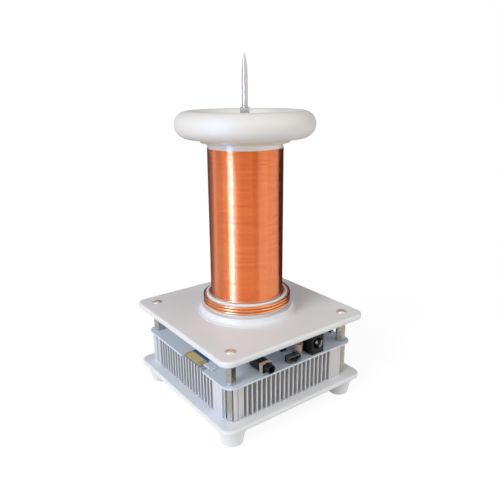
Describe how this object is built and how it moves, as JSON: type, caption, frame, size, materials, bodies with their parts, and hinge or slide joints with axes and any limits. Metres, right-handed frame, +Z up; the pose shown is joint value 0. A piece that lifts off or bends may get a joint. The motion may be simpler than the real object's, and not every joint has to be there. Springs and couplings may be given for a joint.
{
  "type": "desktop resonant transformer",
  "caption": "Small resonant transformer for the desk: helical primary, tall wound secondary, toroid top load and needle on a square driver base with finned aluminium sides.",
  "frame": {"origin": "on the surface that the feet stand on, under the coil's axis", "axes": "+Z up along the coil, -Y towards the connectors, +X to the right seen from the connectors"},
  "size_m": [0.1, 0.1, 0.198],
  "materials": {
    "white_plastic": "satin, moulded",
    "white_tube": "smooth, extruded",
    "white_paint": "gloss paint on spun aluminium",
    "enamelled_wire": "copper with clear enamel",
    "fine_winding": "close-wound enamelled copper",
    "standoff_metal": "nickel plated",
    "screw_steel": "plated",
    "needle_steel": "ground and polished",
    "fin_aluminium": "clear anodised",
    "board_laminate": "white solder mask",
    "module_laminate": "dark blue solder mask",
    "black_plastic": "moulded",
    "sheet_steel": "tinned sheet",
    "collar_brass": "pressed, tinned brass",
    "ferrite": "fired, matt",
    "choke_wire": "enamelled copper",
    "capacitor_can": "printed sleeve",
    "film_epoxy": "dipped",
    "pad_silicone": "matt",
    "terminal_plastic": "moulded"
  },
  "bodies": {
    "frame": {"base_plate": "white_plastic", "base_screws": "screw_steel", "lower_standoffs": "standoff_metal", "front_fin_panel": "fin_aluminium", "right_fin_panel": "fin_aluminium", "back_fin_panel": "fin_aluminium", "left_fin_panel": "fin_aluminium", "power_transistors": "black_plastic", "insulating_pads": "pad_silicone", "transistor_screws": "screw_steel", "circuit_board": "board_laminate", "driver_chip": "black_plastic", "input_diode": "black_plastic", "reservoir_capacitor": "capacitor_can", "film_capacitor": "film_epoxy", "feedback_ring": "ferrite", "choke_core": "ferrite", "choke_winding": "choke_wire", "radio_module": "module_laminate", "module_shield": "sheet_steel", "audio_jack": "black_plastic", "audio_collar": "collar_brass", "switch_base": "black_plastic", "switch_shell": "sheet_steel", "dc_jack": "black_plastic", "dc_pin": "screw_steel", "primary_terminals": "terminal_plastic", "upper_standoffs": "standoff_metal", "top_plate": "white_plastic", "top_screws": "screw_steel", "primary_former": "white_plastic", "former_screws": "screw_steel", "primary_winding": "enamelled_wire", "primary_leads": "enamelled_wire", "secondary_tube": "white_tube", "secondary_winding": "fine_winding", "ground_lead": "enamelled_wire", "top_lead": "enamelled_wire", "tube_cap": "white_plastic", "toroid_lower_shell": "white_paint", "toroid_upper_shell": "white_paint", "spacer_screw": "screw_steel", "needle_spacer": "standoff_metal", "discharge_needle": "needle_steel"},
    "slider": {"mode_slider": "black_plastic"}
  },
  "joints": [
    {"name": "mode_switch_slide", "type": "slide", "parent": "frame", "child": "slider", "axis": [1, 0, 0], "range_m": [0, 0.002]}
  ]
}
